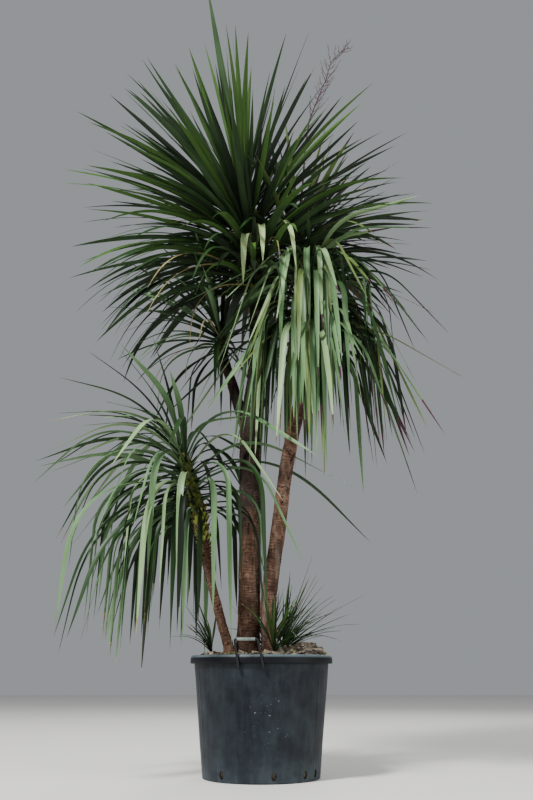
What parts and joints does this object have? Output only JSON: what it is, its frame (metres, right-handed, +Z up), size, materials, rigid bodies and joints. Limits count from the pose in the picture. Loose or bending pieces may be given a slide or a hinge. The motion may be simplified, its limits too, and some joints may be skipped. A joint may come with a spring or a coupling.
{
  "type": "potted cordyline",
  "caption": "Tall palm-like garden plant with sword leaves in several heads on bare stems, standing in a black nursery pot with carrying handles.",
  "frame": {"origin": "centre of the pot's flat underside, on the ground", "axes": "+Z up along the pot's axis; the pictured side faces -Y, +X to its right"},
  "size_m": [1.6969, 1.6324, 3.4825],
  "materials": {
    "pot_plastic": "matte",
    "potting_mix": "matte",
    "handle_wire": "satin",
    "handle_grip": "satin",
    "bark": "matte",
    "dead_stalk": "matte",
    "crown_leaves": "satin",
    "weeping_leaves": "satin",
    "left_head_leaves": "satin",
    "fork_leaves": "satin",
    "sucker_leaves": "satin"
  },
  "bodies": {
    "root": {"back_grip": "handle_grip", "back_handle": "handle_wire", "crown_mass_1": "crown_leaves", "crown_mass_2": "crown_leaves", "crown_mass_3": "crown_leaves", "crown_mass_4": "crown_leaves", "crown_mass_5": "crown_leaves", "crown_mass_6": "crown_leaves", "crown_tip": "crown_leaves", "dead_flower_stalk": "dead_stalk", "front_grip": "handle_grip", "front_handle": "handle_wire", "left_fork_bough": "bark", "left_fork_head_mass_1": "fork_leaves", "left_fork_head_mass_2": "fork_leaves", "left_fork_head_mass_3": "fork_leaves", "left_fork_head_tip": "fork_leaves", "left_head_mass_1": "left_head_leaves", "left_head_mass_2": "left_head_leaves", "left_head_mass_3": "left_head_leaves", "left_head_mass_4": "left_head_leaves", "left_head_mass_5": "left_head_leaves", "left_head_mass_6": "left_head_leaves", "left_head_tip": "left_head_leaves", "left_stem": "bark", "pot": "pot_plastic", "right_fork_bough": "bark", "right_fork_head_mass_1": "fork_leaves", "right_fork_head_mass_2": "fork_leaves", "right_fork_head_mass_3": "fork_leaves", "right_fork_head_mass_4": "fork_leaves", "right_fork_head_tip": "fork_leaves", "right_stem": "bark", "soil": "potting_mix", "sucker_back": "sucker_leaves", "sucker_front": "sucker_leaves", "sucker_left": "sucker_leaves", "sucker_right": "sucker_leaves", "trunk": "bark", "weeping_head_mass_1": "weeping_leaves", "weeping_head_mass_2": "weeping_leaves", "weeping_head_mass_3": "weeping_leaves", "weeping_head_mass_4": "weeping_leaves", "weeping_head_mass_5": "weeping_leaves", "weeping_head_mass_6": "weeping_leaves", "weeping_head_tip": "weeping_leaves"}
  },
  "joints": []
}
